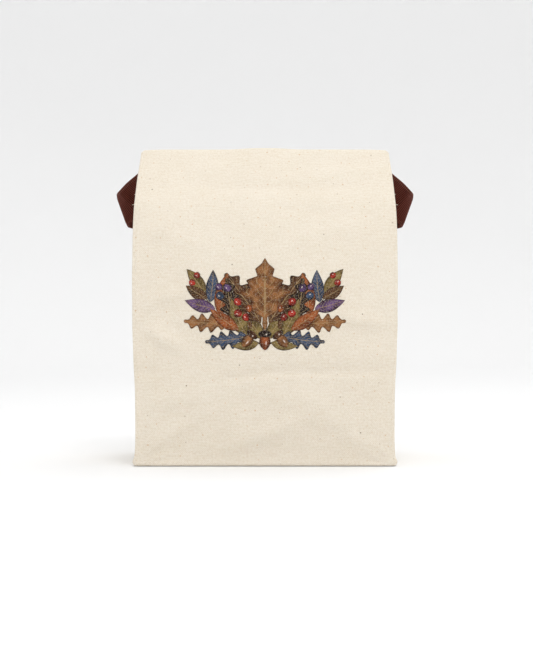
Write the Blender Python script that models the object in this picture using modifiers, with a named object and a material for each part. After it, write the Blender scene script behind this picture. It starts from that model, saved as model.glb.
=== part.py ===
"""A canvas lunch bag that stands on its base, with its top folded over to the back.

The bag is an open shell of five cloth walls. Front and back panels run up to a fold along
the top, the pleated sides tuck in between them, and all four layers go on down the back as
a flap. A flat strap comes out of both side pleats and crosses the back as a handle.
Metres, Z up, the front faces -Y, and the origin is the middle of the base's underside.
"""

import math

import bmesh
import bpy
from mathutils import Vector

# Cloth and strap
CLOTH = 0.0012
GAP = 0.0003
LAYER = CLOTH + GAP
STRAP_WIDTH = 0.028
STRAP_THICKNESS = 0.002
STRAP_GAP = 0.0005  # between its sewn ends and the pleats
TAPE_THICKNESS = 0.0014
TAPE_LENGTH = 0.110
TAPE_WIDTH = 0.018
TAPE_INSET = 0.010  # from the flap's hem to the tape

# The whole bag
HEIGHT = 0.250
BASE_HALF_DEPTH = 0.0635
PLEAT_LEAF = 0.064  # from a side's edge to its inner crease
FLAP_LENGTH = 0.050
FRONT_LEAN = math.radians(42)  # from upright, just under the top fold
BACK_LEAN = math.radians(46)
BACK_STRAIGHT = 0.055  # the back lies flat this far under the fold

# The top fold. Every layer bends round one axis, and its own radius is that of its middle.
BACK_RADIUS = (TAPE_THICKNESS + 2 * GAP + CLOTH) / 2
REAR_LEAF_RADIUS = BACK_RADIUS + LAYER
FRONT_LEAF_RADIUS = REAR_LEAF_RADIUS + LAYER
FRONT_RADIUS = FRONT_LEAF_RADIUS + LAYER
AXIS_Y = 0.002
AXIS_Z = HEIGHT - FRONT_RADIUS - CLOTH / 2
MIDDLE_GAP = 0.0005  # between front and back where no pleat lies between them
MIDDLE_RADIUS = BACK_RADIUS + CLOTH + MIDDLE_GAP
CROWN = 0.0008  # the top edge is this much higher in the middle
MIDDLE_FROM = 0.004  # the fold is thin inside this half width
MIDDLE_TO = 0.033  # and thick outside this one, over the pleats

# The walls by height: half the width, then the depth of the front and back at the sides,
# and how much further the middle of each bulges out.
HEIGHTS = ("height", "half_width", "front", "front_bulge", "back", "back_bulge")
WALLS = [
    dict(zip(HEIGHTS, row))
    for row in (
        (0.000, 0.0998, 0.0635, 0.0000, 0.0635, 0.0000),
        (0.008, 0.0999, 0.0635, 0.0000, 0.0635, 0.0000),
        (0.020, 0.0994, 0.0635, 0.0015, 0.0635, 0.0012),
        (0.050, 0.0995, 0.0634, 0.0034, 0.0635, 0.0025),
        (0.090, 0.1013, 0.0628, 0.0055, 0.0633, 0.0040),
        (0.130, 0.1022, 0.0602, 0.0074, 0.0622, 0.0047),
        (0.165, 0.1024, 0.0547, 0.0070, 0.0575, 0.0030),
        (0.195, 0.1023, 0.0444, 0.0044, 0.0466, 0.0006),
        (0.218, 0.1019, 0.0293, 0.0012, 0.0260, 0.0000),
        (0.232, 0.1011, 0.0164, 0.0000, 0.0114, 0.0000),
        (0.242, 0.1004, 0.0070, 0.0000, 0.0010, 0.0000),
        (0.252, 0.1000, 0.0000, 0.0000, 0.0000, 0.0000),
    )
]
WALL_ROWS = (0, 0.008, 0.020, 0.036, 0.054, 0.072, 0.090, 0.108, 0.126, 0.142, 0.157, 0.170)
WALL_ROWS += (0.182, 0.193, 0.203)
STRAIGHT_ROWS = 4
FOLD_ROWS = 8
FLAP_ROWS = 3
FOLD_NARROWS = 0.0012  # each side draws in this much along the top of the fold
BLEND_FROM = 0.130  # above this the walls run over from the table to the flat stretches

# Across a panel, from the middle to its side edge, as shares of the half width
PANEL_COLUMNS = (0, 0.10, 0.20, 0.265, 0.33, 0.44, 0.56, 0.68, 0.80, 0.90, 1.0)
# Across a pleat's leaf, from its outer edge to just before its inner crease
LEAF_COLUMNS = (0, 0.25, 0.5, 0.75)
CREASE_RADIUS = LAYER / 2
FOOT_HEIGHT = 0.045  # the pleat is pressed flat at the base and tucks in above this
ROUND_UP_TO = 0.080  # its section is rounded below this height
V_FROM = 0.190  # and a sharp V above this one
CREASE_OPEN_TUCK = 0.008  # tucked in no further than this, the leaves meet without a fold
CREASE_FOLDED_TUCK = 0.030  # and from here on they are folded round the crease

# The strap's middle line on the right, from its sewn end in the pleat round to the middle
# of the back. Lean is the direction across it, in degrees from upright as seen from the
# front, and back is how much that direction also points to the back. Seat is 1 where the
# strap lies on the pleat's rear leaf, whose depth it then takes.
STRAP_COLUMNS = ("x", "y", "z", "lean", "back", "seat")
STRAP = [
    dict(zip(STRAP_COLUMNS, row))
    for row in (
        (0.0835, 0.0035, 0.2328, 50, -0.30, 1),
        (0.0935, 0.0120, 0.2247, 50, -0.33, 1),
        (0.1035, 0.0208, 0.2168, 48, -0.32, 1),
        (0.1130, 0.0296, 0.2092, 38, -0.12, 0),
        (0.1181, 0.0400, 0.2047, 19, 0.10, 0),
        (0.1110, 0.0500, 0.2030, 5, 0.00, 0),
        (0.0960, 0.0548, 0.2025, 0, -0.05, 0),
        (0.0600, 0.0655, 0.2025, 0, -0.05, 0),
        (0.0000, 0.0735, 0.2025, 0, 0.00, 0),
    )
]
STRAP_STEPS = 5  # stations between two rows of the table
STRAP_COLUMNS_ACROSS = 5


def hermite(a, b, slope_a, slope_b, span, t):
    """A cubic from a to b over span, with those slopes at its ends."""
    return (
        (2 * t**3 - 3 * t**2 + 1) * a
        + (t**3 - 2 * t**2 + t) * span * slope_a
        + (3 * t**2 - 2 * t**3) * b
        + (t**3 - t**2) * span * slope_b
    )


def smooth_step(low, high, value):
    t = min(1.0, max(0.0, (value - low) / (high - low)))
    return t * t * (3 - 2 * t)


def wall(column, height):
    """A column of the walls' table, smooth between its rows."""
    rows = [(row["height"], row[column]) for row in WALLS]

    def slope(i):
        low, high = rows[max(i - 1, 0)], rows[min(i + 1, len(rows) - 1)]
        return (high[1] - low[1]) / (high[0] - low[0])

    i = max(k for k in range(len(rows) - 1) if rows[k][0] <= height or k == 0)
    (z0, a), (z1, b) = rows[i], rows[i + 1]
    return hermite(a, b, slope(i), slope(i + 1), z1 - z0, (height - z0) / (z1 - z0))


def middle(x):
    """1 where no pleat lies between front and back, and 0 over the pleats."""
    return 1 - smooth_step(MIDDLE_FROM, MIDDLE_TO, abs(x))


def fold_axis(x):
    """The fold's axis at x. Where the layers are fewer it moves up along the flat back."""
    rise = (FRONT_RADIUS - MIDDLE_RADIUS + CROWN) * middle(x) / math.cos(BACK_LEAN)
    return AXIS_Y - rise * math.sin(BACK_LEAN), AXIS_Z + rise * math.cos(BACK_LEAN)


def on_fold(x, radius, angle):
    """The point of a layer on the fold, by its angle from +Y towards +Z."""
    y, z = fold_axis(x)
    return y + radius * math.cos(angle), z + radius * math.sin(angle)


def front_radius(x):
    return FRONT_RADIUS + (MIDDLE_RADIUS - FRONT_RADIUS) * middle(x)


def below_fold(side, x, row):
    """Depth and height of a panel's middle surface at a row under the fold."""
    if side < 0:
        y1, z1 = on_fold(x, front_radius(x), math.pi - FRONT_LEAN)
        lean, depth, bulge = FRONT_LEAN, "front", "front_bulge"
    else:
        y1, z1 = on_fold(x, BACK_RADIUS, math.pi + BACK_LEAN)
        lean, depth, bulge = BACK_LEAN, "back", "back_bulge"
    knee_z = AXIS_Z - BACK_STRAIGHT * math.cos(BACK_LEAN)
    knee_y = y1 + side * (z1 - knee_z) * math.tan(lean)
    if row >= len(WALL_ROWS):
        t = (row - len(WALL_ROWS) + 1) / STRAIGHT_ROWS
        return knee_y + (y1 - knee_y) * t, knee_z + (z1 - knee_z) * t
    z = WALL_ROWS[row]
    share = 1 - (x / wall("half_width", z)) ** 2
    y = side * (wall(depth, z) + wall(bulge, z) * share)
    last = WALL_ROWS[-1]
    table_at_last = side * (wall(depth, last) + wall(bulge, last) * share)
    line_at_last = y1 + side * (z1 - last) * math.tan(lean)
    return y + (line_at_last - table_at_last) * smooth_step(BLEND_FROM, last, z), z


ROWS_BELOW = len(WALL_ROWS) + STRAIGHT_ROWS
ROWS = ROWS_BELOW + FOLD_ROWS + FLAP_ROWS


def half_width(row):
    if row < len(WALL_ROWS):
        return wall("half_width", WALL_ROWS[row])
    if row < ROWS_BELOW:
        return wall("half_width", below_fold(-1, MIDDLE_TO, row)[1])
    top = wall("half_width", AXIS_Z)
    share = min(1.0, (row - ROWS_BELOW + 1) / FOLD_ROWS)
    return top - FOLD_NARROWS * math.sin(math.pi * share)


def above(x, radius, start, row):
    """A layer on the fold, from its start angle, and then down the flap."""
    end = BACK_LEAN
    k = row - ROWS_BELOW + 1
    if k <= FOLD_ROWS:
        return on_fold(x, radius, start + (end - start) * k / FOLD_ROWS)
    y, z = on_fold(x, radius, end)
    down = FLAP_LENGTH * (k - FOLD_ROWS) / FLAP_ROWS
    return y + down * math.sin(BACK_LEAN), z - down * math.cos(BACK_LEAN)


def panel_point(side, x, row):
    """Depth and height of the front (-1) or back (1) panel at x and a row."""
    if row < ROWS_BELOW:
        return below_fold(side, x, row)
    if side < 0:
        return above(x, front_radius(x), math.pi - FRONT_LEAN, row)
    return above(x, BACK_RADIUS, math.pi + BACK_LEAN, row)


def grid_object(name, columns, rows, place, thickness, collection):
    """A cloth piece: a grid of faces put in place point by point, then made solid."""
    mesh = bpy.data.meshes.new(name)
    grid = bmesh.new()
    bmesh.ops.create_grid(grid, x_segments=columns - 1, y_segments=rows - 1, size=0.5)
    for vertex in grid.verts:
        u = round((vertex.co.x + 0.5) * (columns - 1))
        v = round((vertex.co.y + 0.5) * (rows - 1))
        vertex.co = place(u, v)
    for face in grid.faces:
        face.smooth = True
    grid.to_mesh(mesh)
    grid.free()
    piece = bpy.data.objects.new(name, mesh)
    collection.objects.link(piece)
    shell = piece.modifiers.new("Thickness", "SOLIDIFY")
    shell.thickness = thickness
    shell.offset = 0
    shell.use_even_offset = True
    shell.use_quality_normals = True
    return piece


def panel(name, side, collection):
    """The front panel (-1) or the back panel (1), with its half of the flap."""
    shares = [-share for share in reversed(PANEL_COLUMNS[1:])] + list(PANEL_COLUMNS)

    def place(u, v):
        x = shares[u] * half_width(v)
        return Vector((x, *panel_point(side, x, v)))

    return grid_object(name, len(shares), ROWS, place, CLOTH, collection)


def pleat_fold(side, turned):
    """A pleat's edge on the fold, when its rear leaf has turned this far round the axis."""
    rear_angle = math.pi + BACK_LEAN - turned
    if side > 0:
        return on_fold(MIDDLE_TO, REAR_LEAF_RADIUS, rear_angle)
    front_start = math.pi - FRONT_LEAN
    y, z = on_fold(MIDDLE_TO, FRONT_LEAF_RADIUS, min(front_start, rear_angle))
    short = FRONT_LEAF_RADIUS * max(0.0, rear_angle - front_start)
    return y - short * math.sin(FRONT_LEAN), z - short * math.cos(FRONT_LEAN)


def pleat_edge(side, row):
    """Where a pleat's leaf starts behind the panel's side edge: x, depth and height."""
    x = half_width(row)
    if row >= ROWS_BELOW:
        k = row - ROWS_BELOW + 1
        y, z = pleat_fold(side, math.pi * min(1.0, k / FOLD_ROWS))
        down = FLAP_LENGTH * max(0, k - FOLD_ROWS) / FLAP_ROWS
        return Vector((x, y + down * math.sin(BACK_LEAN), z - down * math.cos(BACK_LEAN)))
    if row >= len(WALL_ROWS):
        below = pleat_edge(side, len(WALL_ROWS) - 1)
        y, z = pleat_fold(side, 0)
        t = (row - len(WALL_ROWS) + 1) / STRAIGHT_ROWS
        return below.lerp(Vector((x, y, z)), t)
    y, z = panel_point(side, x, row)
    y0, z0 = panel_point(side, x, max(row - 1, 0))
    y1, z1 = panel_point(side, x, row + 1)
    run = math.hypot(y1 - y0, z1 - z0)
    away = math.asin(min(1.0, abs(y) / PLEAT_LEAF))  # the leaf's angle to the panel
    offset = CLOTH / 2 + GAP + CLOTH / 2 * math.cos(away)
    inward_y, inward_z = -side * (z1 - z0) / run, side * (y1 - y0) / run
    x -= CLOTH / 2 * math.sin(away)
    return Vector((x, y + offset * inward_y, z + offset * min(0.0, inward_z)))


def pleat_crease(row):
    """A pleat's inner crease at a row, and how far it is tucked in."""
    front, back = pleat_edge(-1, row), pleat_edge(1, row)
    half_depth = min((back - front).length / 2, PLEAT_LEAF)
    tuck = math.sqrt(PLEAT_LEAF**2 - half_depth**2)
    tuck *= smooth_step(WALL_ROWS[1], FOOT_HEIGHT, (front.z + back.z) / 2)
    return (front + back) / 2 - Vector((tuck, 0, 0)), tuck


def pleat_point(row, share):
    """A pleat's middle surface: share 0 is the front edge, 0.5 the crease, 1 the back edge."""
    crease, tuck = pleat_crease(row)
    if share == 0.5:
        return crease
    side = -1 if share < 0.5 else 1
    edge, other = pleat_edge(side, row), pleat_edge(-side, row)
    turn = (edge - other).normalized() + Vector((1, 0, 0))
    folded = smooth_step(CREASE_OPEN_TUCK, CREASE_FOLDED_TUCK, tuck)
    near_share = 1 - CREASE_RADIUS / PLEAT_LEAF
    near = edge.lerp(crease, near_share).lerp(crease + turn * CREASE_RADIUS, folded)
    q = (1 - abs(2 * share - 1)) / near_share
    point = edge.lerp(near, q)
    rounded = 1 - smooth_step(ROUND_UP_TO, V_FROM, crease.z)
    point.x -= rounded * tuck * (math.sin(q * math.pi / 2) - q)
    return point


def rear_leaf_depth(x, z):
    """The depth of a pleat's rear leaf at a place seen from the front, in its flat part."""
    rows = range(len(WALL_ROWS) - 1, ROWS_BELOW)
    low = max((r for r in rows[:-1] if pleat_edge(1, r).z <= z), default=rows[0])
    points = []
    for row in (low, low + 1):
        edge, near = pleat_edge(1, row), pleat_crease(row)[0]
        near += ((edge - pleat_edge(-1, row)).normalized() + Vector((1, 0, 0))) * CREASE_RADIUS
        points.append(near.lerp(edge, (x - near.x) / (edge.x - near.x)))
    a, b = points
    return a.y + (b.y - a.y) * (z - a.z) / (b.z - a.z)


def pleat(name, side, collection):
    """A pleated side, right (1) or left (-1), from the front edge in and out to the back."""
    near_share = 1 - CREASE_RADIUS / PLEAT_LEAF
    leaf = [q / 2 for q in LEAF_COLUMNS] + [near_share / 2]
    shares = leaf + [0.5] + [1 - share for share in reversed(leaf)]
    if side < 0:
        shares = shares[::-1]

    def place(u, v):
        point = pleat_point(v, shares[u])
        return Vector((side * point.x, point.y, point.z))

    return grid_object(name, len(shares), ROWS, place, CLOTH, collection)


def base(collection):
    """The flat bottom, inside the foot of the four walls."""
    half_x = half_width(0) - CLOTH - GAP
    half_y = BASE_HALF_DEPTH - CLOTH / 2 - GAP
    bpy.ops.mesh.primitive_cube_add(size=1, location=(0, 0, CLOTH / 2))
    piece = bpy.context.object
    piece.name = piece.data.name = "base_panel"
    piece.scale = (2 * half_x, 2 * half_y, CLOTH)
    bpy.ops.object.transform_apply(location=False, rotation=False, scale=True)
    move_to(piece, collection)
    return piece


def tape(collection):
    """The strip that holds the flap shut, between the flap and the flat back."""
    down = FLAP_LENGTH - TAPE_WIDTH / 2 - TAPE_INSET
    y = AXIS_Y + down * math.sin(BACK_LEAN)
    z = AXIS_Z - down * math.cos(BACK_LEAN)
    bpy.ops.mesh.primitive_cube_add(size=1, location=(0, y, z))
    piece = bpy.context.object
    piece.name = piece.data.name = "closure_tape"
    piece.scale = (TAPE_LENGTH, TAPE_THICKNESS, TAPE_WIDTH)
    bpy.ops.object.transform_apply(location=False, rotation=False, scale=True)
    piece.rotation_euler.x = BACK_LEAN
    move_to(piece, collection)
    return piece


def move_to(piece, collection):
    for old in list(piece.users_collection):
        old.objects.unlink(piece)
    collection.objects.link(piece)


def strap_stations():
    """The strap's stations from the sewn end on the right to the one on the left."""
    keys = []
    for row in STRAP:
        lean = math.radians(row["lean"])
        across = Vector((math.sin(lean), row["back"], math.cos(lean)))
        keys.append((Vector((row["x"], row["y"], row["z"])), across, row["seat"]))
    for point, across, seat in reversed(keys[:-1]):
        mirrored = Vector((-across.x, across.y, across.z))
        keys.append((Vector((-point.x, point.y, point.z)), mirrored, seat))
    stations = []
    for i in range(len(keys) - 1):
        around = [keys[min(max(k, 0), len(keys) - 1)] for k in (i - 1, i, i + 1, i + 2)]
        p0, p1, p2, p3 = (key[0] for key in around)
        a0, a1, a2, a3 = (key[1] for key in around)
        span, before, after = (p2 - p1).length, (p2 - p0).length, (p3 - p1).length
        for k in range(STRAP_STEPS):
            t = k / STRAP_STEPS
            point = hermite(p1, p2, (p2 - p0) / before, (p3 - p1) / after, span, t)
            across = hermite(a1, a2, (a2 - a0) / before, (a3 - a1) / after, span, t)
            seat1, seat2 = around[1][2], around[2][2]
            stations.append((point, across, seat1 + (seat2 - seat1) * smooth_step(0, 1, t)))
    return stations + [keys[-1]]


def strap(collection):
    stations = strap_stations()
    off_leaf = (CLOTH + STRAP_THICKNESS) / 2 + STRAP_GAP

    def place(u, v):
        point, across, seat = stations[v]
        ahead, behind = stations[min(v + 1, len(stations) - 1)][0], stations[max(v - 1, 0)][0]
        along = (ahead - behind).normalized()
        across = (across - along * across.dot(along)).normalized()
        at = point + across * (u / (STRAP_COLUMNS_ACROSS - 1) - 0.5) * STRAP_WIDTH
        if seat > 0:
            x, step = abs(at.x), 0.001
            depth = rear_leaf_depth(x, at.z)
            slope_x = (rear_leaf_depth(x + step, at.z) - depth) / step
            slope_z = (rear_leaf_depth(x, at.z + step) - depth) / step
            depth -= off_leaf * math.sqrt(1 + slope_x**2 + slope_z**2)
            at.y += (depth - at.y) * seat
        return at

    columns, rows = STRAP_COLUMNS_ACROSS, len(stations)
    return grid_object("handle_strap", columns, rows, place, STRAP_THICKNESS, collection)


def material(piece, color, roughness):
    made = bpy.data.materials.new(piece.name)
    made.use_nodes = True
    shader = made.node_tree.nodes["Principled BSDF"]
    shader.inputs["Base Color"].default_value = (*color, 1)
    shader.inputs["Roughness"].default_value = roughness
    shader.inputs["Metallic"].default_value = 0
    piece.data.materials.append(made)


def main():
    for old in list(bpy.data.objects):
        bpy.data.objects.remove(old)
    bag = bpy.data.collections.new("lunch_bag")
    bpy.context.scene.collection.children.link(bag)
    canvas, brown, tape_white = (0.87, 0.81, 0.69), (0.075, 0.026, 0.02), (0.8, 0.78, 0.74)
    material(panel("front_panel", -1, bag), canvas, 0.95)
    material(panel("back_panel", 1, bag), canvas, 0.95)
    material(pleat("gusset_left", -1, bag), canvas, 0.95)
    material(pleat("gusset_right", 1, bag), canvas, 0.95)
    material(base(bag), canvas, 0.95)
    material(strap(bag), brown, 0.6)
    material(tape(bag), tape_white, 0.9)


main()
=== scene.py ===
"""A folded canvas lunch bag with a strap handle: its looks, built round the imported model.

Metres, Z up, the front faces -Y. The file follows the bag as it is put together: the front
with its hem and its print, the back, the pleated sides, the base, the strap and the tape.
"""

import math
import random
from functools import lru_cache

import bmesh
import bpy
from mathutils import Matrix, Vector, noise
from mathutils.bvhtree import BVHTree


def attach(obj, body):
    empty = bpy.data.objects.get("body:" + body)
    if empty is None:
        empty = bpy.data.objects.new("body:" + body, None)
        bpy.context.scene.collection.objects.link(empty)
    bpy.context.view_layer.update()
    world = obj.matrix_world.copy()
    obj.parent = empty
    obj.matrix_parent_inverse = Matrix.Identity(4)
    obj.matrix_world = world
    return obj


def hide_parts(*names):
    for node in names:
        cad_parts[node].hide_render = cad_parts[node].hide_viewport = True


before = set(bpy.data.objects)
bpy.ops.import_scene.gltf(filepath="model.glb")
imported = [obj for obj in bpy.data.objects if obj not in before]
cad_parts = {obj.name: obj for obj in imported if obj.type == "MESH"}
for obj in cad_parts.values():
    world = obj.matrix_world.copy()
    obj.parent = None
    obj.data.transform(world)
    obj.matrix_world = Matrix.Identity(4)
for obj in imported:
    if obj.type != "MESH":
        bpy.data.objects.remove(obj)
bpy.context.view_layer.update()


# The bag is seen from straight in front, from a little under the middle of its height and
# from far enough away that its depth hardly shows.
EYE = (0.0012, -1.168, 0.1070)
LENS = 79.55


def in_scene(name, data):
    """An object made from its data and put in the scene."""
    made = bpy.data.objects.new(name, data)
    bpy.context.scene.collection.objects.link(made)
    return made


camera_data = bpy.data.cameras.new("camera")
camera_data.lens = LENS
camera = in_scene("camera", camera_data)
camera.location = EYE
camera.rotation_euler = (math.radians(90), 0, 0)
bpy.context.scene.camera = camera


# It stands on a round matt white floor that curves up into a wall all round it, so that
# floor and wall run into each other without a line.
FLOOR_RADIUS = 2.4
FLOOR_BEND = 1.3
WALL_TOP = 3.2
FLOOR_BELOW = 0.0001
FLOOR_BEND_ROWS = 24
FLOOR_SIDES = 96
BOARD_WHITE = (0.92, 0.92, 0.92)


def laid_out(name, columns, rows, place):
    """A grid of faces put in place point by point, shaded smooth."""
    mesh = bpy.data.meshes.new(name)
    grid = bmesh.new()
    bmesh.ops.create_grid(grid, x_segments=columns - 1, y_segments=rows - 1, size=0.5)
    for vertex in grid.verts:
        u = round((vertex.co.x + 0.5) * (columns - 1))
        v = round((vertex.co.y + 0.5) * (rows - 1))
        vertex.co = place(u, v)
    for face in grid.faces:
        face.smooth = True
    grid.to_mesh(mesh)
    grid.free()
    return in_scene(name, mesh)


def board_point(u, v):
    angle = 2 * math.pi * u / FLOOR_SIDES
    turn = math.radians(90) * max(0, v - 1) / FLOOR_BEND_ROWS
    radius = FLOOR_RADIUS + FLOOR_BEND * math.sin(turn) if v else 0.001
    z = FLOOR_BEND * (1 - math.cos(turn)) - FLOOR_BELOW
    if v > FLOOR_BEND_ROWS + 1:
        radius, z = FLOOR_RADIUS + FLOOR_BEND, WALL_TOP
    return Vector((radius * math.cos(angle), radius * math.sin(angle), z))


board = laid_out("board", FLOOR_SIDES + 1, FLOOR_BEND_ROWS + 3, board_point)
board_white = bpy.data.materials.new("board_white")
board_white.use_nodes = True
board_shader = board_white.node_tree.nodes["Principled BSDF"]
board_shader.inputs["Base Color"].default_value = (*BOARD_WHITE, 1)
board_shader.inputs["Roughness"].default_value = 1.0
board_shader.inputs["Specular IOR Level"].default_value = 0.0
board.data.materials.append(board_white)


# The light is that of a white studio: even light from all round, one large soft lamp above
# and in front that shades the folds, a weaker one above and behind, and one on the wall.
SKY = 0.99
BAG_MIDDLE = Vector((0, 0, 0.12))
LAMPS = (
    ("front_lamp", Vector((0.18, -1.05, 1.60)), BAG_MIDDLE, (0.7, 0.7), 180, 8.5),
    ("back_lamp", Vector((0.6, 1.2, 1.9)), BAG_MIDDLE, (1.2, 1.2), 180, 5.6),
    ("wall_lamp", Vector((0, 1.2, 2.2)), Vector((0, 2.75, 0.05)), (3.0, 0.4), 54, 1.0),
)

bpy.context.scene.view_settings.view_transform = "Standard"
studio = bpy.data.worlds.new("studio")
studio.use_nodes = True
studio.node_tree.nodes["Background"].inputs["Color"].default_value = (1, 1, 1, 1)
studio.node_tree.nodes["Background"].inputs["Strength"].default_value = SKY
bpy.context.scene.world = studio
for name, place, target, size, spread, power in LAMPS:
    lamp_data = bpy.data.lights.new(name, "AREA")
    lamp_data.shape = "RECTANGLE"
    lamp_data.size, lamp_data.size_y = size
    lamp_data.spread = math.radians(spread)
    lamp_data.energy = power
    lamp = in_scene(name, lamp_data)
    lamp.location = place
    lamp.rotation_euler = (target - place).to_track_quat("-Z", "Y").to_euler()


# The front is one length of unbleached cotton canvas. It stands on the base, leans in
# towards the top, turns over the fold and goes on down the back as the outside of the flap.
# Its side edges are turned in and stitched from inside to the pleated sides.
CLOTH = 0.0012
GAP = 0.0003
LAYER = CLOTH + GAP
HEIGHT = 0.250
FLAP_LENGTH = 0.050
FRONT_LEAN = math.radians(42)  # from upright, just under the top fold
BACK_LEAN = math.radians(46)
BACK_STRAIGHT = 0.055  # the back lies flat this far under the fold
TAPE_THICKNESS = 0.0014

# Every layer bends round one axis at the top, and its own radius is that of its middle
BACK_RADIUS = (TAPE_THICKNESS + 2 * GAP + CLOTH) / 2
REAR_LEAF_RADIUS = BACK_RADIUS + LAYER
FRONT_LEAF_RADIUS = REAR_LEAF_RADIUS + LAYER
FRONT_RADIUS = FRONT_LEAF_RADIUS + LAYER
AXIS_Y = 0.002
AXIS_Z = HEIGHT - FRONT_RADIUS - CLOTH / 2
MIDDLE_RADIUS = BACK_RADIUS + CLOTH + 0.0005  # front and back lie on each other there
CROWN = 0.0008  # the top edge is this much higher in the middle
MIDDLE_FROM = 0.004
MIDDLE_TO = 0.033


def table(columns, rows):
    """A table as one dictionary for each row."""
    return [dict(zip(columns, row)) for row in rows]


# The walls by height: half the width, then the depth of the front and back at the sides,
# and how much further the middle of each bulges out
HEIGHTS = ("height", "half_width", "front", "front_bulge", "back", "back_bulge")
WALLS = table(
    HEIGHTS,
    (
        (0.000, 0.0998, 0.0635, 0.0000, 0.0635, 0.0000),
        (0.008, 0.0999, 0.0635, 0.0000, 0.0635, 0.0000),
        (0.020, 0.0994, 0.0635, 0.0015, 0.0635, 0.0012),
        (0.050, 0.0995, 0.0634, 0.0034, 0.0635, 0.0025),
        (0.090, 0.1013, 0.0628, 0.0055, 0.0633, 0.0040),
        (0.130, 0.1022, 0.0602, 0.0074, 0.0622, 0.0047),
        (0.165, 0.1024, 0.0547, 0.0070, 0.0575, 0.0030),
        (0.195, 0.1023, 0.0444, 0.0044, 0.0466, 0.0006),
        (0.218, 0.1019, 0.0293, 0.0012, 0.0260, 0.0000),
        (0.232, 0.1011, 0.0164, 0.0000, 0.0114, 0.0000),
        (0.242, 0.1004, 0.0070, 0.0000, 0.0010, 0.0000),
        (0.252, 0.1000, 0.0000, 0.0000, 0.0000, 0.0000),
    ),
)
BELLY = 0.130  # the height of the full width
BLEND_FROM = 0.130
BLEND_TO = 0.203
FOLD_NARROWS = 0.0020  # each side draws in this much along the top of the fold
CORNER_NUB = 0.0017  # the bulk of the seams in each bottom corner
CORNER_NUB_Z = 0.0035
CORNER_NUB_HEIGHT = 0.0026
EDGE_WAVE = 0.0003  # the side edges waver by this much
EDGE_WAVE_LENGTH = 0.022
EDGE_WAVE_FROM = 0.006
EDGE_WAVE_TO = 0.030

# Rows of the canvas from the base to the flap's hem, and columns across it
BOTTOM_TURN = 0.0006
BOTTOM_TURN_ROWS = 4
FOOT_STEP = 0.0004
FOOT_ROWS = 8
ROW_STEP = 0.0021
WALL_ROWS = [
    CLOTH / 2 + BOTTOM_TURN * math.sin(math.radians(90) * (k + 1) / BOTTOM_TURN_ROWS)
    for k in range(BOTTOM_TURN_ROWS)
]
WALL_ROWS += [CLOTH / 2 + BOTTOM_TURN + FOOT_STEP * (k + 1) for k in range(FOOT_ROWS)]
FOOT_TOP = WALL_ROWS[-1]
WALL_STEPS = round((BLEND_TO - FOOT_TOP) / ROW_STEP)
WALL_ROWS += [FOOT_TOP + (BLEND_TO - FOOT_TOP) * (k + 1) / WALL_STEPS for k in range(WALL_STEPS)]
STRAIGHT_ROWS = 22
FOLD_ROWS = 16
FLAP_STEPS = 24
HEM_EDGE_ROWS = (0.0008, 0.0003, 0.0)  # before the flap's edge, to round it
FLAP_RUNS = [(FLAP_LENGTH - HEM_EDGE_ROWS[0]) * (k + 1) / FLAP_STEPS for k in range(FLAP_STEPS)]
FLAP_RUNS += [FLAP_LENGTH - before for before in HEM_EDGE_ROWS[1:]]
ROWS_BELOW = len(WALL_ROWS) + STRAIGHT_ROWS
ROWS = ROWS_BELOW + FOLD_ROWS + len(FLAP_RUNS)
EDGE_COLUMNS = (0.0, 0.0004, 0.0008, 0.0012, 0.0017, 0.0024, 0.0035)  # from the side edge
COLUMN_STEP = 0.002
EDGE_TURN = 0.00105
EDGE_TURN_COLUMNS = 5
EDGE_TURN_ANGLE = math.radians(100)


def hermite(a, b, slope_a, slope_b, span, t):
    """A cubic from a to b over span, with those slopes at its ends."""
    return (
        (2 * t**3 - 3 * t**2 + 1) * a
        + (t**3 - 2 * t**2 + t) * span * slope_a
        + (3 * t**2 - 2 * t**3) * b
        + (t**3 - t**2) * span * slope_b
    )


def smooth_step(low, high, value):
    """0 up to low and 1 from high on, with an even rise between them."""
    t = min(1.0, max(0.0, (value - low) / (high - low)))
    return t * t * (3 - 2 * t)


def hump(away, width):
    """1 where away is 0, falling softly to nothing over twice the width."""
    return math.exp(-((away / width) ** 2))


@lru_cache(maxsize=None)
def wall(column, height):
    """A column of the walls' table, smooth between its rows."""
    rows = [(row["height"], row[column]) for row in WALLS]

    def slope(i):
        low, high = rows[max(i - 1, 0)], rows[min(i + 1, len(rows) - 1)]
        return (high[1] - low[1]) / (high[0] - low[0])

    i = max(k for k in range(len(rows) - 1) if rows[k][0] <= height or k == 0)
    (z0, a), (z1, b) = rows[i], rows[i + 1]
    return hermite(a, b, slope(i), slope(i + 1), z1 - z0, (height - z0) / (z1 - z0))


def middle(x):
    """1 where no pleat lies between front and back, and 0 over the pleats."""
    return 1 - smooth_step(MIDDLE_FROM, MIDDLE_TO, abs(x))


def fold_axis(x):
    """The fold's axis at x. Where the layers are fewer it moves up along the flat back."""
    rise = (FRONT_RADIUS - MIDDLE_RADIUS + CROWN) * middle(x) / math.cos(BACK_LEAN)
    return AXIS_Y - rise * math.sin(BACK_LEAN), AXIS_Z + rise * math.cos(BACK_LEAN)


def on_fold(x, radius, angle):
    """The point of a layer on the fold, by its angle from +Y towards +Z."""
    y, z = fold_axis(x)
    return y + radius * math.cos(angle), z + radius * math.sin(angle)


def front_radius(x):
    """The radius of the front's canvas on the fold at x."""
    return FRONT_RADIUS + (MIDDLE_RADIUS - FRONT_RADIUS) * middle(x)


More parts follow.
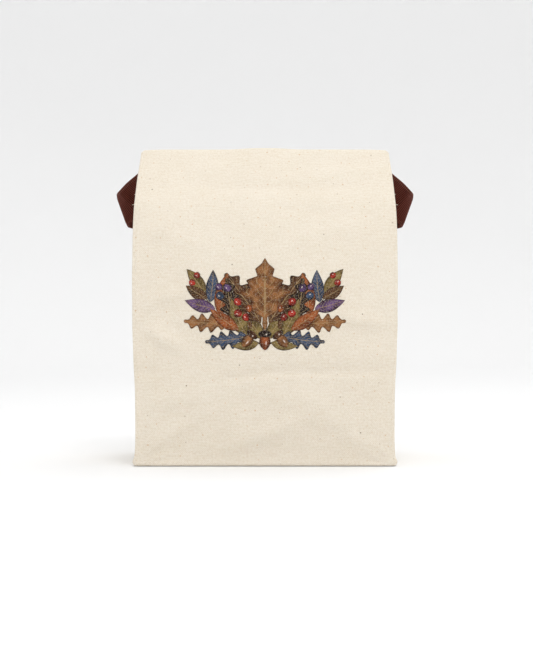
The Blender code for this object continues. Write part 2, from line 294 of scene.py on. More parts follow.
def below_fold(side, x, row):
    """Depth and height of the front (-1) or back (1) at a row under the fold."""
    if side < 0:
        y1, z1 = on_fold(x, front_radius(x), math.pi - FRONT_LEAN)
        lean, depth, bulge = FRONT_LEAN, "front", "front_bulge"
    else:
        y1, z1 = on_fold(x, BACK_RADIUS, math.pi + BACK_LEAN)
        lean, depth, bulge = BACK_LEAN, "back", "back_bulge"
    knee_z = AXIS_Z - BACK_STRAIGHT * math.cos(BACK_LEAN)
    knee_y = y1 + side * (z1 - knee_z) * math.tan(lean)
    if row >= len(WALL_ROWS):
        t = (row - len(WALL_ROWS) + 1) / STRAIGHT_ROWS
        return knee_y + (y1 - knee_y) * t, knee_z + (z1 - knee_z) * t
    z = WALL_ROWS[row]
    share = 1 - (x / wall("half_width", z)) ** 2
    y = side * (wall(depth, z) + wall(bulge, z) * share)
    table_at_last = side * (wall(depth, BLEND_TO) + wall(bulge, BLEND_TO) * share)
    line_at_last = y1 + side * (z1 - BLEND_TO) * math.tan(lean)
    y += (line_at_last - table_at_last) * smooth_step(BLEND_FROM, BLEND_TO, z)
    return y - side * bottom_inset(row), z


def bottom_inset(row):
    """How far the walls' lowest rows turn in under the bag."""
    if row >= BOTTOM_TURN_ROWS:
        return 0.0
    above_base = WALL_ROWS[row] - CLOTH / 2
    return BOTTOM_TURN - math.sqrt(BOTTOM_TURN**2 - (BOTTOM_TURN - above_base) ** 2)


@lru_cache(maxsize=None)
def half_width(row):
    """Half the bag's width at a row, with its wavering edges and the corners' bulk."""
    if row < ROWS_BELOW:
        z = below_fold(-1, MIDDLE_TO, row)[1]
        plain = wall("half_width", z)
    else:
        z = HEIGHT + 0.001 * (row - ROWS_BELOW)
        share = min(1.0, (row - ROWS_BELOW + 1) / FOLD_ROWS)
        plain = wall("half_width", AXIS_Z) - FOLD_NARROWS * math.sin(math.pi * share)
    nub = CORNER_NUB * hump(z - CORNER_NUB_Z, CORNER_NUB_HEIGHT)
    wave = EDGE_WAVE * noise.noise(Vector((z / EDGE_WAVE_LENGTH, 1.3, 0.7)))
    return plain + nub + wave * smooth_step(EDGE_WAVE_FROM, EDGE_WAVE_TO, z)


def above(x, radius, start, row):
    """A layer on the fold, from its start angle, and then down the flap."""
    k = row - ROWS_BELOW + 1
    if k <= FOLD_ROWS:
        return on_fold(x, radius, start + (BACK_LEAN - start) * k / FOLD_ROWS)
    y, z = on_fold(x, radius, BACK_LEAN)
    down = FLAP_RUNS[k - FOLD_ROWS - 1]
    return y + down * math.sin(BACK_LEAN), z - down * math.cos(BACK_LEAN)


@lru_cache(maxsize=None)
def panel_point(side, x, row):
    """Depth and height of the front (-1) or back (1) at x and a row."""
    if row < ROWS_BELOW:
        return below_fold(side, x, row)
    if side < 0:
        return above(x, front_radius(x), math.pi - FRONT_LEAN, row)
    return above(x, BACK_RADIUS, math.pi + BACK_LEAN, row)


def outward(side, x, row):
    """The direction out of the front or back, as depth and height."""
    y0, z0 = panel_point(side, x, max(row - 1, 0))
    y1, z1 = panel_point(side, x, min(row + 1, ROWS - 1))
    run = math.hypot(y1 - y0, z1 - z0)
    return side * (z1 - z0) / run, -side * (y1 - y0) / run


def runs(side):
    """The length of canvas from the base up to each row."""
    lengths = [0.0]
    for row in range(1, ROWS):
        (y0, z0), (y1, z1) = (panel_point(side, MIDDLE_TO, r) for r in (row - 1, row))
        lengths.append(lengths[-1] + math.hypot(y1 - y0, z1 - z0))
    return lengths


FRONT_RUNS = runs(-1)
HEM_LENGTH = 0.018  # the hem turned in at the flap's end
HEM_STEP = 0.0003
HEM_STEP_RUN = 0.0012
HEM_PUCKER = 0.00016  # between the stitches
HEM_PUCKER_SIZE = 0.0045
HEM_PUCKER_REACH = 0.005

# The front sinks in under the top fold, where it closes on the back
CLOSE_FROM = 0.188
CLOSE_TO = 0.204
DENT_RIM = 0.0004
DENT_DEPTH = 0.0019
DENT_Z = 0.2165
DENT_HEIGHT = 0.0048
DENT_MIDDLE = 0.010
DENT_FULL_TO = 0.020
DENT_ENDS = 0.095
CALM_FROM = 0.243  # the canvas is pulled smoother from here up to the fold
CALM_SHARE = 0.6

# The packing creases: from its left end to its right the front's rises in two parts
CREASE_DEPTH = 0.0018
CREASE_ABOVE = 0.0070
CREASE_BELOW = 0.0016
CREASE_Z = 0.0652
CREASE_RISE = 0.0052
CREASE_RISE_FROM = -0.036
CREASE_RISE_TO = 0.006
CREASE_SLOPE = 0.016
CREASE_STARTS = (-0.040, -0.018)
SHORT_CREASE_Z = 0.0700  # a short one at the left edge
SHORT_CREASE_ENDS = (-0.092, -0.078)

# The seams: a dip beside the turned-in side edges and the welt along the bottom
SEAM_LINE = 0.0023
SEAM_WIDTH = 0.0005
SEAM_DEPTH = 0.00030
WELT_Z = 0.0024
WELT_WIDTH = 0.0008
WELT_HEIGHT = 0.00034
WELT_UNEVEN = 0.014
FLARE = 0.0006  # the walls spread a little at the foot
FLARE_HEIGHT = 0.0060
HELD_EDGE = 0.016  # the side seams hold the canvas flat this far in
HELD_FOOT = 0.003

# How uneven the canvas lies: the noise's seed, its size and its height
FRONT_UNEVEN = ((3.1, 0.062, 0.0011), (5.7, 0.024, 0.00045), (9.2, 0.010, 0.00013))

# The rucks of the front by their middle, their slant in degrees, how far they reach along
# and across, and how far they stand out
RUCK_COLUMNS = ("x", "z", "slant", "length", "width", "height")
FRONT_RUCKS = table(
    RUCK_COLUMNS,
    (
        (-0.034, 0.2345, 17, 0.024, 0.0045, 0.0022),
        (0.066, 0.2290, 7, 0.030, 0.0042, 0.0021),
        (-0.070, 0.1760, -14, 0.024, 0.0065, 0.0012),
        (-0.078, 0.1850, 44, 0.022, 0.0055, 0.0017),
        (0.052, 0.1800, 12, 0.026, 0.0075, 0.0011),
        (-0.074, 0.1300, 14, 0.022, 0.0060, 0.0018),
        (0.074, 0.1120, -8, 0.022, 0.0055, 0.0023),
        (-0.078, 0.0980, -30, 0.017, 0.0058, 0.0031),
        (-0.066, 0.0520, 6, 0.022, 0.0080, 0.0016),
        (0.030, 0.0500, -9, 0.030, 0.0085, 0.0014),
        (0.058, 0.0345, -6, 0.022, 0.0068, 0.0014),
        (0.003, 0.0265, 21, 0.036, 0.0066, 0.0014),
        (0.070, 0.0200, -30, 0.020, 0.0055, 0.0014),
        (-0.072, 0.0250, 32, 0.024, 0.0055, 0.0012),
        (-0.088, 0.0120, 38, 0.013, 0.0015, 0.0012),
        (-0.080, 0.0070, 16, 0.014, 0.0014, 0.0008),
        (0.090, 0.0110, -42, 0.012, 0.0015, 0.0013),
        (0.083, 0.0075, -20, 0.014, 0.0014, 0.0009),
        (0.025, 0.1985, -4, 0.050, 0.0055, -0.0013),
    ),
)


def unevenness(scales, x, run):
    """How far the canvas wavers out at a place, in all its scales."""
    return sum(
        height * noise.noise(Vector((x / size, run / size, seed))) for seed, size, height in scales
    )


def rucks_at(rucks, x, z):
    """How far the named rucks of a wall stand out at a place."""
    out = 0.0
    for ruck in rucks:
        slant = math.radians(ruck["slant"])
        dx, dz = x - ruck["x"], z - ruck["z"]
        along = (dx * math.cos(slant) + dz * math.sin(slant)) / ruck["length"]
        across = (dz * math.cos(slant) - dx * math.sin(slant)) / ruck["width"]
        out += ruck["height"] * math.exp(-along * along - across * across)
    return out


def sewn(relief, x, z, row, run):
    """A wall's relief, held flat along its seams, with their dip and welt and the spread foot."""
    edge = half_width(row) - abs(x)
    relief *= smooth_step(0.0, HELD_EDGE, edge) * smooth_step(0.0, HELD_FOOT, run - BOTTOM_TURN)
    dip = SEAM_DEPTH * hump(edge - SEAM_LINE, SEAM_WIDTH)
    uneven = 0.7 + 0.9 * noise.noise(Vector((x / WELT_UNEVEN, 4.4, 2.2)))
    welt = WELT_HEIGHT * uneven * hump(z - WELT_Z, WELT_WIDTH)
    return relief + (welt - dip + FLARE * hump(z, FLARE_HEIGHT))


def crease_depth(above_it):
    """The depth of a crease, soft above its line and sharper below it."""
    return CREASE_DEPTH * hump(above_it, CREASE_ABOVE if above_it > 0 else CREASE_BELOW)


def crease_height(x):
    """The old packing crease across the front, rising from its left end to the right."""
    rise = CREASE_RISE * smooth_step(CREASE_RISE_FROM, CREASE_RISE_TO, x)
    return CREASE_Z + rise + CREASE_SLOPE * max(0.0, x)


def front_relief(x, row):
    """How far the front's canvas stands out of its plain shape."""
    run = FRONT_RUNS[row]
    z = below_fold(-1, x, row)[1] if row < ROWS_BELOW else HEIGHT
    relief = unevenness(FRONT_UNEVEN, x, run)
    if row < ROWS_BELOW:
        relief += rucks_at(FRONT_RUCKS, x, z)
    relief -= crease_depth(z - crease_height(x)) * smooth_step(*CREASE_STARTS, x)
    relief -= crease_depth(z - SHORT_CREASE_Z) * (1 - smooth_step(*SHORT_CREASE_ENDS, x))
    close = smooth_step(CLOSE_FROM, CLOSE_TO, z)
    relief *= 1 - CALM_SHARE * smooth_step(CALM_FROM, HEIGHT, z)
    dent = hump(z - DENT_Z, DENT_HEIGHT)
    dent *= 1 - smooth_step(DENT_FULL_TO, DENT_ENDS, abs(x - DENT_MIDDLE))
    relief = relief * (1 - close / 2) + close * (DENT_RIM - DENT_DEPTH * dent)
    hem_run = FRONT_RUNS[-1] - HEM_LENGTH
    relief += HEM_STEP * smooth_step(hem_run - HEM_STEP_RUN, hem_run, run)
    pucker = unevenness(((31.0, HEM_PUCKER_SIZE, HEM_PUCKER),), x, run * 0.3)
    relief += hump(run - hem_run, HEM_PUCKER_REACH) * pucker
    return sewn(relief, x, z, row, run)


RIM = (0.45, 0.80, 0.97)  # how full the cloth is at its cut edge and in the next two rows


def rim_fullness(u, v, columns, rows):
    """The rounding of the cloth's edges."""
    from_edge = min(u, v, columns - 1 - u, rows - 1 - v)
    return RIM[from_edge] if from_edge < len(RIM) else 1.0


def cloth_piece(name, columns, rows, place, across, along, thickness):
    """A piece of cloth of even thickness, mapped in metres across and along its threads."""
    piece = laid_out(name, columns, rows, place)
    mesh = piece.data
    mapping = mesh.uv_layers.new(name="threads")
    for loop in mesh.loops:
        v, u = divmod(loop.vertex_index, columns)
        mapping.data[loop.index].uv = (across(u, v), along(u, v))
    group = piece.vertex_groups.new(name="fullness")
    for vertex in mesh.vertices:
        v, u = divmod(vertex.index, columns)
        group.add([vertex.index], rim_fullness(u, v, columns, rows), "REPLACE")
    shell = piece.modifiers.new("Thickness", "SOLIDIFY")
    shell.thickness = thickness
    shell.offset = 0
    shell.use_even_offset = True
    shell.use_quality_normals = True
    shell.vertex_group = group.name
    shell.thickness_vertex_group = 0.0
    return piece


def panel(name, side, relief, run_to):
    """The front or the back, with its turned-in side edges."""
    half = wall("half_width", BELLY)
    inner = half - EDGE_COLUMNS[-1]
    steps = round(2 * inner / COLUMN_STEP)
    near = [(half - step) / half for step in EDGE_COLUMNS[:-1]]
    shares = [-share for share in near] + [
        (2 * k / steps - 1) * inner / half for k in range(steps + 1)
    ]
    shares += reversed(near)
    columns = len(shares) + 2 * EDGE_TURN_COLUMNS

    def station(u):
        flat = min(max(u - EDGE_TURN_COLUMNS, 0), len(shares) - 1)
        beyond = abs(u - EDGE_TURN_COLUMNS - flat)
        return shares[flat], beyond * EDGE_TURN_ANGLE / EDGE_TURN_COLUMNS

    def place(u, v):
        share, turn = station(u)
        flat = half_width(v) - CLOTH / 2 - EDGE_TURN
        x = share * flat
        y, z = panel_point(side, x, v)
        out_y, out_z = outward(side, x, v)
        out = relief(x, v) - EDGE_TURN * (1 - math.cos(turn))
        x += math.copysign(EDGE_TURN * math.sin(turn), share)
        return Vector((x, y + out * out_y, z + out * out_z))

    def across(u, v):
        share, turn = station(u)
        return share * half_width(v) + math.copysign(EDGE_TURN * turn, share)

    return cloth_piece(name, columns, ROWS, place, across, lambda u, v: run_to[v], CLOTH)


front = panel("front_canvas", -1, front_relief, FRONT_RUNS)
WARP_PITCH = 0.00075
WEFT_PITCH = 0.00085
CANVAS = (0.838, 0.772, 0.666)
CANVAS_DARK = (0.725, 0.637, 0.505)
STREAKS = (((80.0, 900.0, 1.0), 0.40), ((1100.0, 90.0, 1.0), 0.15))  # uneven weft and warp

# Flecks of seed husk: seed of the pattern, spacing, size, how many show, and colour
FLECKS = (
    (8.1, 0.0036, 0.00055, 0.46, (0.730, 0.620, 0.470)),
    (0.0, 0.0085, 0.0008, 0.42, (0.670, 0.500, 0.330)),
    (5.3, 0.0150, 0.0008, 0.28, (0.520, 0.430, 0.330)),
    (3.7, 0.0340, 0.0009, 0.30, (0.300, 0.240, 0.180)),
)


def set_input(tree, socket, value):
    """A socket linked to another node's output, or set to a value."""
    if isinstance(value, bpy.types.NodeSocket):
        tree.links.new(value, socket)
    else:
        socket.default_value = value


def node(tree, kind, **inputs):
    """A shader node with its inputs set, where a value is a number or another node's output."""
    made = tree.nodes.new(kind)
    for key, value in inputs.items():
        socket = made.inputs[int(key[1:])] if key[0] == "_" else made.inputs[key]
        set_input(tree, socket, value)
    return made


def calc(tree, operation, a, b=0.0, c=0.0):
    """The result of one Math node."""
    made = node(tree, "ShaderNodeMath", _0=a, _1=b, _2=c)
    made.operation = operation
    return made.outputs[0]


def mixed(tree, share, a, b, kind="MIX"):
    """Two colours mixed by a share."""
    made = tree.nodes.new("ShaderNodeMix")
    made.data_type = "RGBA"
    made.blend_type = kind
    set_input(tree, made.inputs[0], share)
    for socket, color in ((made.inputs[6], a), (made.inputs[7], b)):
        set_input(tree, socket, (*color, 1) if isinstance(color, tuple) else color)
    return made.outputs[2]


def faded(tree, value, start, end=1.0):
    """0 where a value is start, rising evenly to 1 where it is end."""
    made = node(tree, "ShaderNodeMapRange", Value=value)
    made.inputs["From Min"].default_value = start
    made.inputs["From Max"].default_value = end
    return made.outputs[0]


def new_material(name):
    """A material and its node tree."""
    made = bpy.data.materials.new(name)
    made.use_nodes = True
    return made, made.node_tree


def finish_with(tree, color, bump, **values):
    """The shader's colour, its bump and the values that are the same all over."""
    shader = tree.nodes["Principled BSDF"]
    tree.links.new(color, shader.inputs["Base Color"])
    tree.links.new(bump.outputs[0], shader.inputs["Normal"])
    for key, value in values.items():
        shader.inputs[key.replace("_", " ")].default_value = value


def weave_of(tree, threads):
    """The over and under of a plain weave, with its uneven hand-spun threads."""
    parts = node(tree, "ShaderNodeSeparateXYZ", Vector=threads)
    slub = node(tree, "ShaderNodeTexNoise", Vector=threads, Scale=900.0, Detail=2.0)
    wobble = calc(tree, "MULTIPLY_ADD", slub.outputs[0], 0.9, -0.45)
    warp = calc(tree, "MULTIPLY_ADD", parts.outputs[0], math.pi / WARP_PITCH, wobble)
    weft = calc(tree, "MULTIPLY_ADD", parts.outputs[1], math.pi / WEFT_PITCH, wobble)
    return calc(tree, "MULTIPLY", calc(tree, "SINE", warp), calc(tree, "SINE", weft))


def flecks_of(tree, threads, seed, spacing, size, chance):
    """A share of 1 on each seed fleck and 0 on the plain canvas round it."""
    moved = node(tree, "ShaderNodeVectorMath", _0=threads, _1=(seed, seed * 0.7, 0))
    bent = node(tree, "ShaderNodeTexNoise", Vector=moved.outputs[0], Scale=400.0)
    cells = node(tree, "ShaderNodeTexVoronoi", Vector=moved.outputs[0], Scale=1 / spacing)
    cells.voronoi_dimensions = "2D"
    pick = node(tree, "ShaderNodeSeparateXYZ", Vector=cells.outputs["Color"])
    chosen = calc(tree, "LESS_THAN", pick.outputs[0], chance)
    reach = calc(tree, "MULTIPLY_ADD", bent.outputs[0], 0.9 * size / spacing, 0.0)
    reach = calc(tree, "MULTIPLY", reach, calc(tree, "MULTIPLY_ADD", pick.outputs[1], 1.2, 0.4))
    inside = calc(tree, "LESS_THAN", cells.outputs["Distance"], reach)
    return calc(tree, "MULTIPLY", inside, chosen)


def canvas_material(name):
    """Unbleached plain-weave cotton: cream, finely mottled, with flecks of seed husk."""
    made, tree = new_material(name)
    threads = node(tree, "ShaderNodeUVMap").outputs[0]
    weave = weave_of(tree, threads)
    cloud = node(tree, "ShaderNodeTexNoise", Vector=threads, Scale=26.0, Detail=3.0)
    mottle = node(tree, "ShaderNodeTexNoise", Vector=threads, Scale=620.0, Detail=3.0)
    shade = calc(tree, "MULTIPLY_ADD", mottle.outputs[0], 0.75, 0.0)
    shade = calc(tree, "MULTIPLY_ADD", cloud.outputs[0], 0.20, shade)
    for stretch, depth in STREAKS:
        drawn = node(tree, "ShaderNodeMapping", Vector=threads, Scale=stretch)
        streaks = node(tree, "ShaderNodeTexNoise", Vector=drawn.outputs[0], Scale=1.0, Detail=4.0)
        shade = calc(tree, "MULTIPLY_ADD", streaks.outputs[0], depth, shade)
    shade = calc(tree, "MULTIPLY_ADD", weave, -0.12, shade)
    shade = calc(tree, "MULTIPLY_ADD", shade, 2.6, -1.55)
    color = mixed(tree, shade, CANVAS, CANVAS_DARK)
    for seed, spacing, size, chance, fleck in FLECKS:
        color = mixed(tree, flecks_of(tree, threads, seed, spacing, size, chance), color, fleck)
    height = calc(tree, "MULTIPLY_ADD", mottle.outputs[0], 0.8, weave)
    bump = node(tree, "ShaderNodeBump", Height=height, Strength=0.35, Distance=0.00025)
    finish_with(tree, color, bump, Roughness=0.95, Specular_IOR_Level=0.2, Sheen_Weight=0.08)
    return made


canvas = canvas_material("canvas")
front.data.materials.append(canvas)
TURNED_IN = 0.002
FRONT_WIDTH = 2 * wall("half_width", BELLY) + 2 * TURNED_IN
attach(front, "root")
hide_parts("front_panel")


# The flap's hem is turned in and sewn down with two rows of cream cotton thread, whose
# stitches sink into the canvas.
THREAD = 0.00042
STITCH = 0.0031
STITCH_SPACE = 0.0006
HEM_ROWS = (0.0, 0.0062)  # from the edge of the turned-in hem towards the mouth
HEM_ROW_IN = 0.0012
HEM_ENDS_IN = 0.0035
STITCH_STRAY = 0.00012
STITCH_PROFILE = ((0.0, 0.35), (0.12, 0.8), (0.35, 1.0), (0.65, 1.0), (0.88, 0.8), (1.0, 0.35))
THREAD_SIDES = 6
THREAD_PROUD = THREAD * 0.25  # the thread's middle stands this far off the cloth
RAY_START = 0.006
THREAD_CREAM = (0.86, 0.80, 0.68)
THREAD_SHADE = (0.66, 0.58, 0.44)


def surface_of(piece):
    """A piece as it is seen, to find places on it."""
    bpy.context.view_layer.update()
    return BVHTree.FromObject(piece, bpy.context.evaluated_depsgraph_get())


def stitches(name, ends):
    """Rows of stitches: each runs from one point to another, with the way out of the cloth."""
    mesh = bpy.data.meshes.new(name)
    made = bmesh.new()
    for start, end, out in ends:
        along = end - start
        side = along.cross(out).normalized()
        rings = []
        for t, size in STITCH_PROFILE:
            sunk = (abs(2 * t - 1) ** 2 * 0.75 - 0.10) * THREAD
            centre = start + along * t - out * sunk
            ring = []
            for k in range(THREAD_SIDES):
                angle = math.radians(360 / THREAD_SIDES * k)
                spread = side * math.cos(angle) + out * math.sin(angle)
                ring.append(made.verts.new(centre + spread * (THREAD / 2 * size)))
            rings.append(ring)
        for a, b in zip(rings, rings[1:]):
            for k in range(THREAD_SIDES):
                after = (k + 1) % THREAD_SIDES
                made.faces.new((a[k], a[after], b[after], b[k]))
        made.faces.new(rings[0][::-1])
        made.faces.new(rings[-1])
    bmesh.ops.recalc_face_normals(made, faces=made.faces)
    for face in made.faces:
        face.smooth = True
    made.to_mesh(mesh)
    made.free()
    return in_scene(name, mesh)


def thread_material(name):
    """Twisted cotton thread."""
    made, tree = new_material(name)
    place = node(tree, "ShaderNodeTexCoord").outputs["Object"]
    wave = node(tree, "ShaderNodeTexWave", Vector=place, Scale=900.0, Distortion=2.0)
    twist = wave.outputs["Fac"]
    color = mixed(tree, twist, THREAD_CREAM, THREAD_SHADE)
    bump = node(tree, "ShaderNodeBump", Height=twist, Strength=0.4, Distance=0.0001)
    finish_with(tree, color, bump, Roughness=0.8)
    return made


def hem_stitches():
    """The places of the hem's stitches on the outside of the flap."""
    skin = surface_of(front)
    ends = []
    uneven = random.Random(7)
    for hem_row in HEM_ROWS:
        down = HEM_LENGTH - hem_row - HEM_ROW_IN
        half = half_width(ROWS - 1) - EDGE_TURN - HEM_ENDS_IN
        count = int(2 * half / (STITCH + STITCH_SPACE))
        for k in range(count):
            x = -half + (k + 0.1) * 2 * half / count
            places = []
            for along in (x, x + STITCH):
                y, z = panel_point(-1, along, ROWS - 1)
                out_y, out_z = outward(-1, along, ROWS - 1)
                lift = down + uneven.uniform(-STITCH_STRAY, STITCH_STRAY)
                start = Vector((along, y - lift * out_z, z + lift * out_y))
                way = Vector((0, out_y, out_z))
                hit = skin.ray_cast(start + way * RAY_START, -way)[0]
                places.append(hit + way * THREAD_PROUD)
            ends.append((places[0], places[1], way))
    return ends


thread = thread_material("cream_thread")
hem_thread = stitches("flap_hem_stitches", hem_stitches())
hem_thread.data.materials.append(thread)
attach(hem_thread, "root")


# The front is printed with a spray of autumn leaves, acorns and berries. The inks are soft and
# a little worn: thin films that follow every fold and let the weave show through.
PRINT_AT = (0.0, 0.1255)
INK_OFF_CLOTH = 0.00009
INK_STEP = 0.000006
INK_FILM = 0.00002
FILM_ROW = 0.9  # the films' faces in millimetres, along and across
FILM_COLUMN = 3.2
FILM_LEAST = 0.09
LOBE_SWEEP = 0.22
BEFORE_THE_FRONT = -0.25
INKS = {
    "tan": (0.300, 0.127, 0.045),
    "rust": (0.330, 0.085, 0.024),
    "brown": (0.100, 0.040, 0.017),
    "dark": (0.028, 0.014, 0.011),
    "slate": (0.046, 0.078, 0.145),
    "olive": (0.215, 0.155, 0.048),
    "red": (0.430, 0.030, 0.018),
    "plum": (0.130, 0.070, 0.190),
}
SHAPE_COLUMNS = ("kind", "x", "z", "angle", "length", "width", "bend", "ink")

# The right half of the spray in millimetres and degrees, from the lowest film to the highest.
# The fruit lies over all the leaves.
SPRAY = table(
    SHAPE_COLUMNS,
    (
        ("stem", 0, -33, 20, 62, 1.3, 40, "dark"),
        ("stem", 0, -35, 84, 30, 1.2, 6, "dark"),
        ("leaf", 2, -28, 58, 27, 11, -10, "olive"),
        ("leaf", 10, -20, 44, 28, 12, 14, "brown"),
        ("oak", 3, -16, 58, 47, 21, -8, "brown"),
        ("leaf", 42, 0, 102, 25, 10, -14, "slate"),
        ("leaf", 34, -10, 94, 33, 12, 12, "rust"),
        ("oak", 23, -19, 76, 38, 17, 10, "dark"),
        ("leaf", 14, -25, 60, 30, 12, 14, "olive"),
        ("leaf", 46, 6, 62, 24, 10, -16, "olive"),
        ("leaf", 44, 3, 24, 19, 9, 14, "brown"),
        ("leaf", 38, -5, 10, 24, 10, 12, "plum"),
        ("oak", 27, -16, -2, 35, 15, 10, "tan"),
        ("oak", 12, -26, -12, 34, 15, 10, "slate"),
        ("leaf", 20, -21, 30, 27, 10, 12, "rust"),
        ("leaf", 5, -31, -14, 20, 8, 14, "olive"),
        ("berry", 27, 8, 60, 6.4, 6.4, 0, "plum"),
        ("berry", 31.5, 3.5, 30, 6.4, 6.4, 0, "slate"),
        ("berry", 33, 10, 40, 5.6, 5.6, 0, "plum"),
        ("berry", 50, 19, 40, 5.0, 5.0, 0, "red"),
        ("berry", 53, 14, 20, 5.4, 5.4, 0, "red"),
        ("nut", 10, -25, -52, 11.5, 8.0, 0, "tan"),
        ("cap", 8.2, -22.7, -52, 5.2, 9.4, 0, "brown"),
        ("berry", 13, -14, 60, 6.0, 6.0, 0, "red"),
        ("berry", 17.5, -9.5, 20, 6.4, 6.4, 0, "red"),
        ("berry", 11.5, -7.5, 80, 5.6, 5.6, 0, "rust"),
        ("berry", 18.5, -2.0, 45, 6.4, 6.4, 0, "red"),
    ),
)
CENTRE = table(
    SHAPE_COLUMNS,
    (
        ("maple", 0, -22, 90, 56, 44, 0, "tan"),
        ("nut", 0, -24, -90, 12.5, 8.6, 0, "rust"),
        ("cap", 0, -21.4, -90, 5.6, 10.2, 0, "dark"),
    ),
)


FRUIT = ("berry", "nut", "cap")
MAPLE_EDGE = (0.0, 0.10, 0.06, 0.74, 0.42, 1.0, 0.50, 0.66, 0.26, 0.34, 0.12, 0.0)


def half_of(kind, t):
    """How wide a printed shape is at a share of its length, from 0 to 1."""
    if kind == "stem":
        return 1 - 0.55 * t
    if kind in ("berry", "cap"):
        return math.sqrt(max(0.0, 1 - (2 * t - 1) ** 2))
    if kind == "nut":
        return math.sqrt(max(0.0, 1 - (2 * t - 1) ** 2)) * (1 - 0.3 * t**4)
    if kind == "oak":
        lobes = 0.70 + 0.30 * math.cos(2 * math.pi * (4.5 * t + 0.42))
        return math.sin(math.pi * t**0.85) ** 0.6 * lobes
    if kind == "maple":
        at = t * (len(MAPLE_EDGE) - 1)
        low = min(int(at), len(MAPLE_EDGE) - 2)
        return MAPLE_EDGE[low] + (MAPLE_EDGE[low + 1] - MAPLE_EDGE[low]) * (at - low)
    return math.sin(math.pi * t**0.8) ** 0.9


def films(shapes):
    """The printed shapes as grids: their points, faces, and place along and across each."""
    skin = surface_of(front)
    points, faces, inside, inks = [], [], [], []
    for shape in shapes:
        rows = max(7, round(shape["length"] / FILM_ROW))
        columns = max(2, 2 * round(shape["width"] / FILM_COLUMN))
        x, z = shape["x"], shape["z"]
        lift = INK_OFF_CLOTH + shape["order"] * INK_STEP
        first = len(points)
        for i in range(rows + 1):
            t = i / rows
            angle = math.radians(shape["angle"] + shape["bend"] * t)
            half = max(FILM_LEAST, shape["width"] / 2 * half_of(shape["kind"], t))
            for j in range(columns + 1):
                s = 2 * j / columns - 1
                sweep = LOBE_SWEEP * abs(s) * half if shape["kind"] in ("oak", "maple") else 0.0
                px = x - s * half * math.sin(angle) + sweep * math.cos(angle)
                pz = z + s * half * math.cos(angle) + sweep * math.sin(angle)
                at_x, at_z = PRINT_AT[0] + px / 1000, PRINT_AT[1] + pz / 1000
                at = Vector((at_x, BEFORE_THE_FRONT, at_z))
                hit, way, _, _ = skin.ray_cast(at, Vector((0, 1, 0)))
                points.append(hit + way * lift)
                inside.append((t, s))
                inks.append((*INKS[shape["ink"]], 1))
            x += math.cos(angle) * shape["length"] / rows
            z += math.sin(angle) * shape["length"] / rows
        for i in range(rows):
            for j in range(columns):
                a = first + i * (columns + 1) + j
                faces.append((a, a + columns + 1, a + columns + 2, a + 1))
    return points, faces, inside, inks


def printed(name, shapes):
    """A piece of thin films of ink, each with its own colour."""
    points, faces, inside, inks = films(shapes)
    mesh = bpy.data.meshes.new(name)
    mesh.from_pydata(points, [], faces)
    threads = mesh.uv_layers.new(name="threads")
    place = mesh.uv_layers.new(name="shape")
    for loop in mesh.loops:
        point = points[loop.vertex_index]
        threads.data[loop.index].uv = (point.x, point.z)
        place.data[loop.index].uv = inside[loop.vertex_index]
    ink = mesh.color_attributes.new("ink", "FLOAT_COLOR", "POINT")
    for index, color in enumerate(inks):
        ink.data[index].color = color
    for face in mesh.polygons:
        face.use_smooth = True
    piece = in_scene(name, mesh)
    film = piece.modifiers.new("Film", "SOLIDIFY")
    film.thickness = INK_FILM
    film.offset = -1
    return piece


INK_SHADE = (0.36, 0.32, 0.31)
VEIN = (0.36, 0.24, 0.11)
LEAF_RIM = (0.38, 0.30, 0.28)
GLEAM = (0.72, 0.62, 0.55)
FRUIT_RIM = (0.22, 0.18, 0.20)


